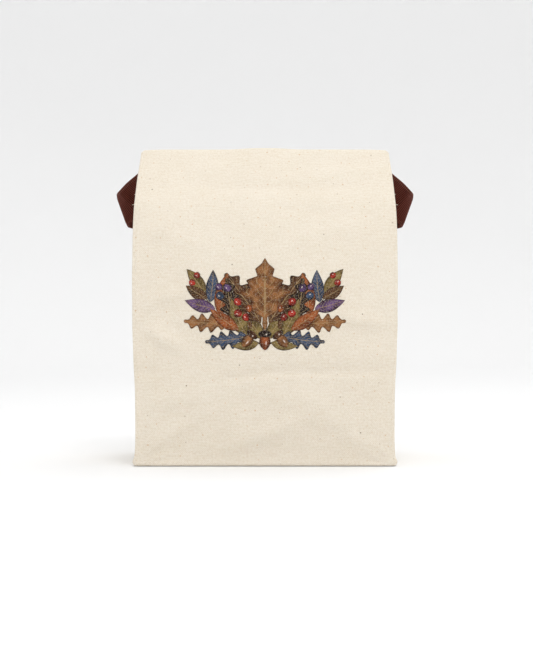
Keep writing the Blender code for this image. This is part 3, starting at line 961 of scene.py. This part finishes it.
def ink_material(name, veined):
    """Water-based ink in the weave: mottled, with drawn veins on leaves or a gleam on fruit."""
    made, tree = new_material(name)
    threads_map = node(tree, "ShaderNodeUVMap")
    threads_map.uv_map = "threads"
    shape_map = node(tree, "ShaderNodeUVMap")
    shape_map.uv_map = "shape"
    threads = threads_map.outputs[0]
    parts = node(tree, "ShaderNodeSeparateXYZ", Vector=shape_map.outputs[0])
    ink_of = tree.nodes.new("ShaderNodeAttribute")
    ink_of.attribute_name = "ink"
    color = ink_of.outputs["Color"]
    wash = node(tree, "ShaderNodeTexNoise", Vector=threads, Scale=170.0, Detail=4.0)
    grain = node(tree, "ShaderNodeTexNoise", Vector=threads, Scale=900.0, Detail=3.0)
    deep = calc(tree, "MULTIPLY_ADD", wash.outputs[0], 4.2, -1.70)
    color = mixed(tree, deep, color, INK_SHADE, "MULTIPLY")
    from_rib = calc(tree, "ABSOLUTE", parts.outputs[1])
    if veined:
        run = calc(tree, "MULTIPLY_ADD", from_rib, -0.20, parts.outputs[0])
        wave = calc(tree, "SINE", calc(tree, "MULTIPLY", run, 9 * math.pi))
        vein = calc(tree, "MULTIPLY_ADD", calc(tree, "ABSOLUTE", wave), -4.5, 1.0)
        rib = calc(tree, "MULTIPLY_ADD", from_rib, -13.0, 1.0)
        line = calc(tree, "MAXIMUM", calc(tree, "MAXIMUM", vein, rib), 0.0)
        color = mixed(tree, line, color, VEIN)
        color = mixed(tree, faded(tree, from_rib, 0.62), color, LEAF_RIM, "MULTIPLY")
    else:
        at = node(tree, "ShaderNodeVectorMath", _0=shape_map.outputs[0], _1=(0.58, 0.22, 0))
        at.operation = "DISTANCE"
        color = mixed(tree, faded(tree, at.outputs["Value"], 0.16, 0.05), color, GLEAM)
        color = mixed(tree, faded(tree, from_rib, 0.25), color, FRUIT_RIM, "MULTIPLY")
    weave = weave_of(tree, threads)
    worn = calc(tree, "MULTIPLY_ADD", grain.outputs[0], 1.3, -0.66)
    worn = calc(tree, "MULTIPLY_ADD", weave, -0.05, worn)
    color = mixed(tree, calc(tree, "MAXIMUM", worn, 0.0), color, CANVAS_DARK)
    bump = node(tree, "ShaderNodeBump", Height=weave, Strength=0.35, Distance=0.00025)
    finish_with(tree, color, bump, Roughness=0.9, Specular_IOR_Level=0.15)
    return made


LEFT_SPRAY = [dict(s, x=-s["x"], angle=180 - s["angle"], bend=-s["bend"]) for s in SPRAY]
ALL_SHAPES = sorted(SPRAY + LEFT_SPRAY + CENTRE, key=lambda shape: shape["kind"] in FRUIT)
for order, shape in enumerate(ALL_SHAPES):
    shape["order"] = order
for name, veined in (("printed_leaves", True), ("printed_fruit", False)):
    spray = printed(name, [s for s in ALL_SHAPES if (s["kind"] in FRUIT) != veined])
    spray.data.materials.append(ink_material(f"{name}_ink", veined))
    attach(spray, "root")


# The back is cut from the same canvas. It leans in to the fold, turns back on itself there
# and is the inside of the flap. The tape that shuts the bag is sewn to it.
BACK_RUNS = runs(1)
BACK_CREASE_Z = 0.0690
BACK_FLAT_FROM = 0.165  # it lies flat from here up, under the flap and the tape
BACK_FLAT_TO = 0.195
BACK_UNEVEN = ((13.4, 0.055, 0.0013), (15.8, 0.022, 0.00045), (19.5, 0.010, 0.00013))
BACK_RUCKS = table(
    RUCK_COLUMNS,
    (
        (0.040, 0.1560, -18, 0.030, 0.0065, 0.0017),
        (-0.052, 0.1400, 22, 0.026, 0.0065, 0.0021),
        (0.068, 0.1080, 10, 0.022, 0.0062, 0.0020),
        (-0.020, 0.1020, -8, 0.034, 0.0075, 0.0016),
        (-0.070, 0.0500, -12, 0.024, 0.0065, 0.0019),
        (0.022, 0.0380, 9, 0.034, 0.0070, 0.0019),
        (0.060, 0.0280, -27, 0.022, 0.0055, 0.0013),
        (-0.030, 0.0250, 24, 0.026, 0.0060, 0.0013),
        (-0.089, 0.0105, 36, 0.010, 0.0014, 0.0007),
        (0.089, 0.0100, -38, 0.010, 0.0014, 0.0007),
    ),
)


def back_relief(x, row):
    """How far the back's canvas stands out of its plain shape."""
    run = BACK_RUNS[row]
    z = below_fold(1, x, row)[1] if row < ROWS_BELOW else HEIGHT
    relief = unevenness(BACK_UNEVEN, x, run) + rucks_at(BACK_RUCKS, x, z)
    relief -= crease_depth(z - BACK_CREASE_Z)
    return sewn(relief, x, z, row, run) * (1 - smooth_step(BACK_FLAT_FROM, BACK_FLAT_TO, z))


back = panel("back_canvas", 1, back_relief, BACK_RUNS)
back.data.materials.append(canvas)
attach(back, "root")
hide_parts("back_panel")


# Each side is a canvas gusset pressed into one deep pleat. Low down it stands nearly flat,
# and towards the top its two leaves close against the front and the back.
PLEAT_LEAF = 0.064
CREASE_RADIUS = LAYER / 2
NEAR_CREASE = 1 - CREASE_RADIUS / PLEAT_LEAF  # the share of a leaf before its rounded crease
FOOT_HEIGHT = 0.045
TUCK_FROM = 0.008
ROUND_UP_TO = 0.080
V_FROM = 0.190
CREASE_OPEN_TUCK = 0.008
CREASE_FOLDED_TUCK = 0.030
LEAF_STEPS = 28
SEAM_INSET = EDGE_TURN + 0.0001  # behind the turned-in edge of the front or back
SIDE_CLOTH_AT = 0.31  # where on the cloth's weave the sides are cut
FREE_FROM_EDGE = 0.014
OPEN_LOW = (0.004, 0.020)  # the pleats are loose between these heights
OPEN_HIGH = (0.120, 0.175)
SIDE_UNEVEN = ((23.0, 0.040, 0.0016), (27.0, 0.016, 0.00050))


def pleat_fold(side, turned):
    """A pleat's edge on the fold, when its rear leaf has turned this far round the axis."""
    rear_angle = math.pi + BACK_LEAN - turned
    if side > 0:
        return on_fold(MIDDLE_TO, REAR_LEAF_RADIUS, rear_angle)
    front_start = math.pi - FRONT_LEAN
    y, z = on_fold(MIDDLE_TO, FRONT_LEAF_RADIUS, min(front_start, rear_angle))
    short = FRONT_LEAF_RADIUS * max(0.0, rear_angle - front_start)
    return y - short * math.sin(FRONT_LEAN), z - short * math.cos(FRONT_LEAN)


@lru_cache(maxsize=None)
def pleat_edge(side, row):
    """Where a pleat's leaf starts behind the front's or back's side edge."""
    x = half_width(row)
    if row >= ROWS_BELOW:
        k = row - ROWS_BELOW + 1
        y, z = pleat_fold(side, math.pi * min(1.0, k / FOLD_ROWS))
        down = FLAP_RUNS[k - FOLD_ROWS - 1] if k > FOLD_ROWS else 0.0
        y, z = y + down * math.sin(BACK_LEAN), z - down * math.cos(BACK_LEAN)
        return Vector((x - CLOTH / 2 - SEAM_INSET, y, z))
    if row >= len(WALL_ROWS):
        below = pleat_edge(side, len(WALL_ROWS) - 1)
        y, z = pleat_fold(side, 0)
        t = (row - len(WALL_ROWS) + 1) / STRAIGHT_ROWS
        return below.lerp(Vector((x - CLOTH / 2 - SEAM_INSET, y, z)), t)
    y, z = panel_point(side, x, row)
    y += side * bottom_inset(row)
    out_y, out_z = outward(side, x, max(row, BOTTOM_TURN_ROWS + 1))
    away = math.asin(min(1.0, abs(y) / PLEAT_LEAF))  # the leaf's angle to the panel
    offset = CLOTH / 2 + GAP + CLOTH / 2 * math.cos(away) + SEAM_INSET / 2 * math.sin(away)
    x -= CLOTH / 2 + SEAM_INSET * math.cos(away) + bottom_inset(row)
    return Vector((x, y - offset * out_y, z - offset * max(0.0, out_z)))


@lru_cache(maxsize=None)
def pleat_crease(row):
    """A pleat's inner crease at a row, and how far it is tucked in."""
    front_edge, back_edge = pleat_edge(-1, row), pleat_edge(1, row)
    half_depth = min((back_edge - front_edge).length / 2, PLEAT_LEAF)
    tuck = math.sqrt(PLEAT_LEAF**2 - half_depth**2)
    tuck *= smooth_step(TUCK_FROM, FOOT_HEIGHT, (front_edge.z + back_edge.z) / 2)
    return (front_edge + back_edge) / 2 - Vector((tuck, 0, 0)), tuck


def pleat_point(row, share):
    """A pleat's middle surface: share 0 is the front edge, 0.5 the crease, 1 the back edge."""
    crease, tuck = pleat_crease(row)
    if share == 0.5:
        return crease
    side = -1 if share < 0.5 else 1
    edge, other = pleat_edge(side, row), pleat_edge(-side, row)
    turn = (edge - other).normalized() + Vector((1, 0, 0))
    folded = smooth_step(CREASE_OPEN_TUCK, CREASE_FOLDED_TUCK, tuck)
    near = edge.lerp(crease, NEAR_CREASE).lerp(crease + turn * CREASE_RADIUS, folded)
    q = (1 - abs(2 * share - 1)) / NEAR_CREASE
    point = edge.lerp(near, q)
    rounded = 1 - smooth_step(ROUND_UP_TO, V_FROM, crease.z)
    point.x -= rounded * tuck * (math.sin(q * math.pi / 2) - q)
    return point


def pleated_side(name, side):
    """The right (1) or left (-1) side, from its front edge in to the crease and out again."""
    leaf = [NEAR_CREASE / 2 * k / LEAF_STEPS for k in range(LEAF_STEPS + 1)]
    shares = leaf + [0.5] + [1 - share for share in reversed(leaf)]
    if side < 0:
        shares = shares[::-1]
    columns = len(shares)
    scales = [(seed * side, size, height) for seed, size, height in SIDE_UNEVEN]

    def place(u, v):
        point = pleat_point(v, shares[u])
        from_edge = (0.5 - abs(shares[u] - 0.5)) * 2 * PLEAT_LEAF
        open_part = (1 - smooth_step(*OPEN_HIGH, point.z)) * smooth_step(*OPEN_LOW, point.z)
        free = smooth_step(0.0, FREE_FROM_EDGE, from_edge) * open_part
        relief = unevenness(scales, point.y, point.z)
        return Vector((side * (point.x + relief * free), point.y, point.z))

    return cloth_piece(
        name,
        columns,
        ROWS,
        place,
        lambda u, v: shares[u] * 2 * PLEAT_LEAF + SIDE_CLOTH_AT * side,
        lambda u, v: BACK_RUNS[v],
        CLOTH,
    )


for side, name in ((-1, "left"), (1, "right")):
    pleat = pleated_side(f"{name}_side_canvas", side)
    pleat.data.materials.append(canvas)
    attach(pleat, "root")
    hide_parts(f"gusset_{name}")


# The base is a rectangle of the same canvas that lies flat under the load. Its four edges are
# sewn in at the foot of the walls.
BASE_CLEAR = CLOTH / 2 + BOTTOM_TURN + GAP
BASE_HALF_DEPTH = wall("front", 0.0) - BASE_CLEAR
BASE_HALF_WIDTH = wall("half_width", 0.0) - CLOTH / 2 - BASE_CLEAR
BASE_STEP = 0.0025
BASE_CLOTH_AT = 0.7


def base_sheet():
    """The flat base, a little way inside the walls."""
    columns = round(2 * BASE_HALF_WIDTH / BASE_STEP) + 1
    rows = round(2 * BASE_HALF_DEPTH / BASE_STEP) + 1

    def flat(u, v):
        x = (u / (columns - 1) * 2 - 1) * BASE_HALF_WIDTH
        y = (v / (rows - 1) * 2 - 1) * BASE_HALF_DEPTH
        return x, y

    return cloth_piece(
        "base_canvas",
        columns,
        rows,
        lambda u, v: Vector((*flat(u, v), CLOTH / 2)),
        lambda u, v: flat(u, v)[0] + BASE_CLOTH_AT,
        lambda u, v: flat(u, v)[1],
        CLOTH,
    )


base = base_sheet()
base.data.materials.append(canvas)
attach(base, "root")
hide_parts("base_panel")


# The handle is one length of flat brown webbing. Each end is sewn to the rear leaf of a side
# pleat, comes out past the bag's edge, turns the corner and crosses the back as a handhold.
STRAP_WIDTH = 0.028
STRAP_THICKNESS = 0.002
STRAP_GAP = 0.0005
STRAP_COLUMNS = ("x", "y", "z", "lean", "back", "seat", "bow")
STRAP = table(
    STRAP_COLUMNS,
    (
        (0.0820, 0.0035, 0.2320, 50, -0.30, 1, 0.0),
        (0.0920, 0.0120, 0.2239, 50, -0.33, 1, 0.0),
        (0.1027, 0.0208, 0.2165, 48, -0.32, 1, 0.0),
        (0.1124, 0.0296, 0.2086, 40, -0.12, 0, 0.0003),
        (0.1184, 0.0400, 0.2046, 20, 0.10, 0, 0.0012),
        (0.1110, 0.0500, 0.2036, 6, 0.00, 0, 0.0006),
        (0.0960, 0.0548, 0.2030, 0, -0.05, 0, 0.0),
        (0.0600, 0.0655, 0.2025, 0, -0.05, 0, 0.0),
        (0.0000, 0.0735, 0.2025, 0, 0.00, 0, 0.0),
    ),
)
UPPER_EDGE_DIPS = (0.2, 0.5)
STRAP_STEPS = 14
STRAP_ACROSS = 17


def rear_leaf_depth(x, z):
    """The depth of a pleat's rear leaf at a place seen from the front, in its flat part."""
    rows = range(len(WALL_ROWS) - 1, ROWS_BELOW)
    low = max((r for r in rows[:-1] if pleat_edge(1, r).z <= z), default=rows[0])
    points = []
    for row in (low, low + 1):
        edge, near = pleat_edge(1, row), pleat_crease(row)[0].copy()
        near += ((edge - pleat_edge(-1, row)).normalized() + Vector((1, 0, 0))) * CREASE_RADIUS
        points.append(near.lerp(edge, (x - near.x) / (edge.x - near.x)))
    a, b = points
    return a.y + (b.y - a.y) * (z - a.z) / (b.z - a.z)


def strap_stations():
    """The strap's stations from the sewn end on the right to the one on the left."""
    keys = []
    for row in STRAP:
        lean = math.radians(row["lean"])
        way = Vector((math.sin(lean), row["back"], math.cos(lean)))
        keys.append((Vector((row["x"], row["y"], row["z"])), way, row["seat"], row["bow"]))
    for point, way, seat, bow in reversed(keys[:-1]):
        mirrored = Vector((-way.x, way.y, way.z))
        keys.append((Vector((-point.x, point.y, point.z)), mirrored, seat, bow))
    stations = []
    for i in range(len(keys) - 1):
        around = [keys[min(max(k, 0), len(keys) - 1)] for k in (i - 1, i, i + 1, i + 2)]
        p0, p1, p2, p3 = (key[0] for key in around)
        a0, a1, a2, a3 = (key[1] for key in around)
        span, before, after = (p2 - p1).length, (p2 - p0).length, (p3 - p1).length
        for k in range(STRAP_STEPS):
            t = k / STRAP_STEPS
            point = hermite(p1, p2, (p2 - p0) / before, (p3 - p1) / after, span, t)
            way = hermite(a1, a2, (a2 - a0) / before, (a3 - a1) / after, span, t)
            ease = smooth_step(0, 1, t)
            seat = around[1][2] + (around[2][2] - around[1][2]) * ease
            bow = around[1][3] + (around[2][3] - around[1][3]) * ease
            stations.append((point, way, seat, bow))
    return stations + [keys[-1]]


STATIONS = strap_stations()
STRAP_RUNS = [0.0]
for before, after in zip(STATIONS, STATIONS[1:]):
    STRAP_RUNS.append(STRAP_RUNS[-1] + (after[0] - before[0]).length)


def strap_point(v, share):
    """The strap's middle surface at a station, from -0.5 at its lower edge to 0.5."""
    off_leaf = (CLOTH + STRAP_THICKNESS) / 2 + STRAP_GAP
    point, way, seat, bow = STATIONS[v]
    ahead = STATIONS[min(v + 1, len(STATIONS) - 1)][0]
    behind = STATIONS[max(v - 1, 0)][0]
    along = (ahead - behind).normalized()
    way = (way - along * way.dot(along)).normalized()
    at = point + way * share * STRAP_WIDTH
    at -= way * bow * smooth_step(*UPPER_EDGE_DIPS, share)
    at.x += math.copysign(bow * (1 - 4 * share * share), point.x)
    if seat > 0:
        x, step = abs(at.x), 0.001
        depth = rear_leaf_depth(x, at.z)
        slope_x = (rear_leaf_depth(x + step, at.z) - depth) / step
        slope_z = (rear_leaf_depth(x, at.z + step) - depth) / step
        depth -= off_leaf * math.sqrt(1 + slope_x**2 + slope_z**2)
        at.y += (depth - at.y) * seat
    return at


def strap_piece():
    """The strap, a flat band led through its stations."""
    rows = len(STATIONS)
    return cloth_piece(
        "strap",
        STRAP_ACROSS,
        rows,
        lambda u, v: strap_point(v, u / (STRAP_ACROSS - 1) - 0.5),
        lambda u, v: (u / (STRAP_ACROSS - 1) - 0.5) * STRAP_WIDTH,
        lambda u, v: STRAP_RUNS[v],
        STRAP_THICKNESS,
    )


# painted light and shade: the ribs' crests get the lighter colour and the grooves between them the
# darker one
WEBBING_SHADED_GROOVE = (0.028, 0.0040, 0.0018)
WEBBING_LIT_RIB = (0.126, 0.0340, 0.0235)
# painted highlight: the lighter dots on the crests of the loops along each edge
LOOP_HIGHLIGHT = (0.26, 0.120, 0.090)
SELVEDGE = (0.105, 0.0330, 0.0240)
WEBBING_SHEEN = (1.0, 0.42, 0.34)
RIB_PITCH = 0.00175
WARP_STEP = 0.0009
LOOPS_FROM_EDGE = 0.0017
SELVEDGE_FROM = 0.0012
SELVEDGE_TO = 0.0003


def webbing_material(name):
    """Dark red-brown woven webbing: ribs across it, with painted light on their crests and painted
    shade in the grooves, and a row of loops along each edge with a painted highlight on their
    crests.
    """
    made, tree = new_material(name)
    place = node(tree, "ShaderNodeUVMap").outputs[0]
    parts = node(tree, "ShaderNodeSeparateXYZ", Vector=place)
    cloud = node(tree, "ShaderNodeTexNoise", Vector=place, Scale=75.0, Detail=3.0)
    fuzz = node(tree, "ShaderNodeTexNoise", Vector=place, Scale=2200.0, Detail=2.0)
    sway = calc(tree, "MULTIPLY_ADD", cloud.outputs[0], 3.0, 0.0)
    rib = calc(tree, "MULTIPLY_ADD", parts.outputs[1], 2 * math.pi / RIB_PITCH, sway)
    rib = calc(tree, "SINE", rib)
    warp = calc(tree, "MULTIPLY", parts.outputs[0], 2 * math.pi / WARP_STEP)
    warp = calc(tree, "SINE", warp)
    relief = calc(tree, "MULTIPLY_ADD", warp, 0.35, rib)
    shade = calc(tree, "MULTIPLY_ADD", fuzz.outputs[0], 0.8, -0.35)
    shade = calc(tree, "MULTIPLY_ADD", cloud.outputs[0], 0.6, shade)
    shade = calc(tree, "MULTIPLY_ADD", relief, 1.40, shade)
    # painted light and shade that follow the ribs' relief, mixed with random tone from the noise
    color = mixed(tree, shade, WEBBING_SHADED_GROOVE, WEBBING_LIT_RIB)
    from_middle = calc(tree, "ABSOLUTE", parts.outputs[0])
    # painted highlight on the loops' crests, only where the ribs stand up
    loop_highlight = calc(tree, "SUBTRACT", from_middle, STRAP_WIDTH / 2 - LOOPS_FROM_EDGE)
    loop_highlight = calc(tree, "MULTIPLY_ADD", calc(tree, "ABSOLUTE", loop_highlight), -1800.0, 1.0)
    loop_highlight = calc(tree, "MULTIPLY", calc(tree, "MAXIMUM", loop_highlight, 0.0), rib)
    color = mixed(tree, calc(tree, "MAXIMUM", loop_highlight, 0.0), color, LOOP_HIGHLIGHT)
    half = STRAP_WIDTH / 2
    rim = faded(tree, from_middle, half - SELVEDGE_FROM, half - SELVEDGE_TO)
    color = mixed(tree, rim, color, SELVEDGE)
    bump = node(tree, "ShaderNodeBump", Height=relief, Strength=0.6, Distance=0.0003)
    finish_with(
        tree,
        color,
        bump,
        Roughness=0.85,
        Specular_IOR_Level=0.05,
        Sheen_Weight=0.22,
        Sheen_Roughness=0.40,
        Sheen_Tint=(*WEBBING_SHEEN, 1),
    )
    return made


strap = strap_piece()
strap.data.materials.append(webbing_material("brown_webbing"))
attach(strap, "root")
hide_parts("handle_strap")


# Where the strap leaves the bag, a row of cream cotton stitches goes down across it. They are
# sewn through the strap and the pleat's rear leaf, and hold each of its ends.
STRAP_STITCHES = (0.1917, 0.2000, 0.2083, 0.2166, 0.2249)
STRAP_STITCH_FROM = (0.1060, 0.1066, 0.1080, 0.1058, 0.1030)
STRAP_STITCH = 0.0024
STRAP_STITCH_DROP = 0.25
BEFORE_THE_STRAP = -0.02


def strap_stitches():
    """The places of the strap's stitches, on its outside."""
    skin = surface_of(strap)
    ends = []
    for side in (-1, 1):
        for z, x in zip(STRAP_STITCHES, STRAP_STITCH_FROM):
            places, ways = [], []
            for reach in (0.0, STRAP_STITCH):
                drop = STRAP_STITCH_DROP * reach
                start = Vector((side * (x + reach), BEFORE_THE_STRAP, z - drop))
                hit, way, _, _ = skin.ray_cast(start, Vector((0, 1, 0)))
                if hit is not None:
                    places.append(hit + way * THREAD_PROUD)
                    ways.append(way)
            if len(places) == 2:
                ends.append((places[0], places[1], ways[0]))
    return ends


strap_thread = stitches("strap_stitches", strap_stitches())
strap_thread.data.materials.append(thread)
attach(strap_thread, "root")


# A strip of cream hook-and-loop tape, sewn to the back under the flap, holds the top folded
# down. Only its edge can be seen. The imported solid has its shape, and gets a close nap with
# painted shade between its loops.
TAPE_LOOPS = (0.78, 0.75, 0.69)
TAPE_PILE_SHADE = (0.60, 0.56, 0.49)


def tape_material(name):
    """The close nap of a sewn-on fastening tape, with painted shade between its loops."""
    made, tree = new_material(name)
    place = node(tree, "ShaderNodeTexCoord").outputs["Object"]
    loops = node(tree, "ShaderNodeTexVoronoi", Vector=place, Scale=1600.0)
    pile = loops.outputs["Distance"]
    # painted shade: darker between the loops of the nap, lighter on each loop
    color = mixed(tree, pile, TAPE_LOOPS, TAPE_PILE_SHADE)
    bump = node(tree, "ShaderNodeBump", Height=pile, Strength=0.6, Distance=0.0003)
    finish_with(tree, color, bump, Roughness=0.9)
    return made


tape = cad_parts["closure_tape"]
tape.data.materials.clear()
tape.data.materials.append(tape_material("tape_nap"))
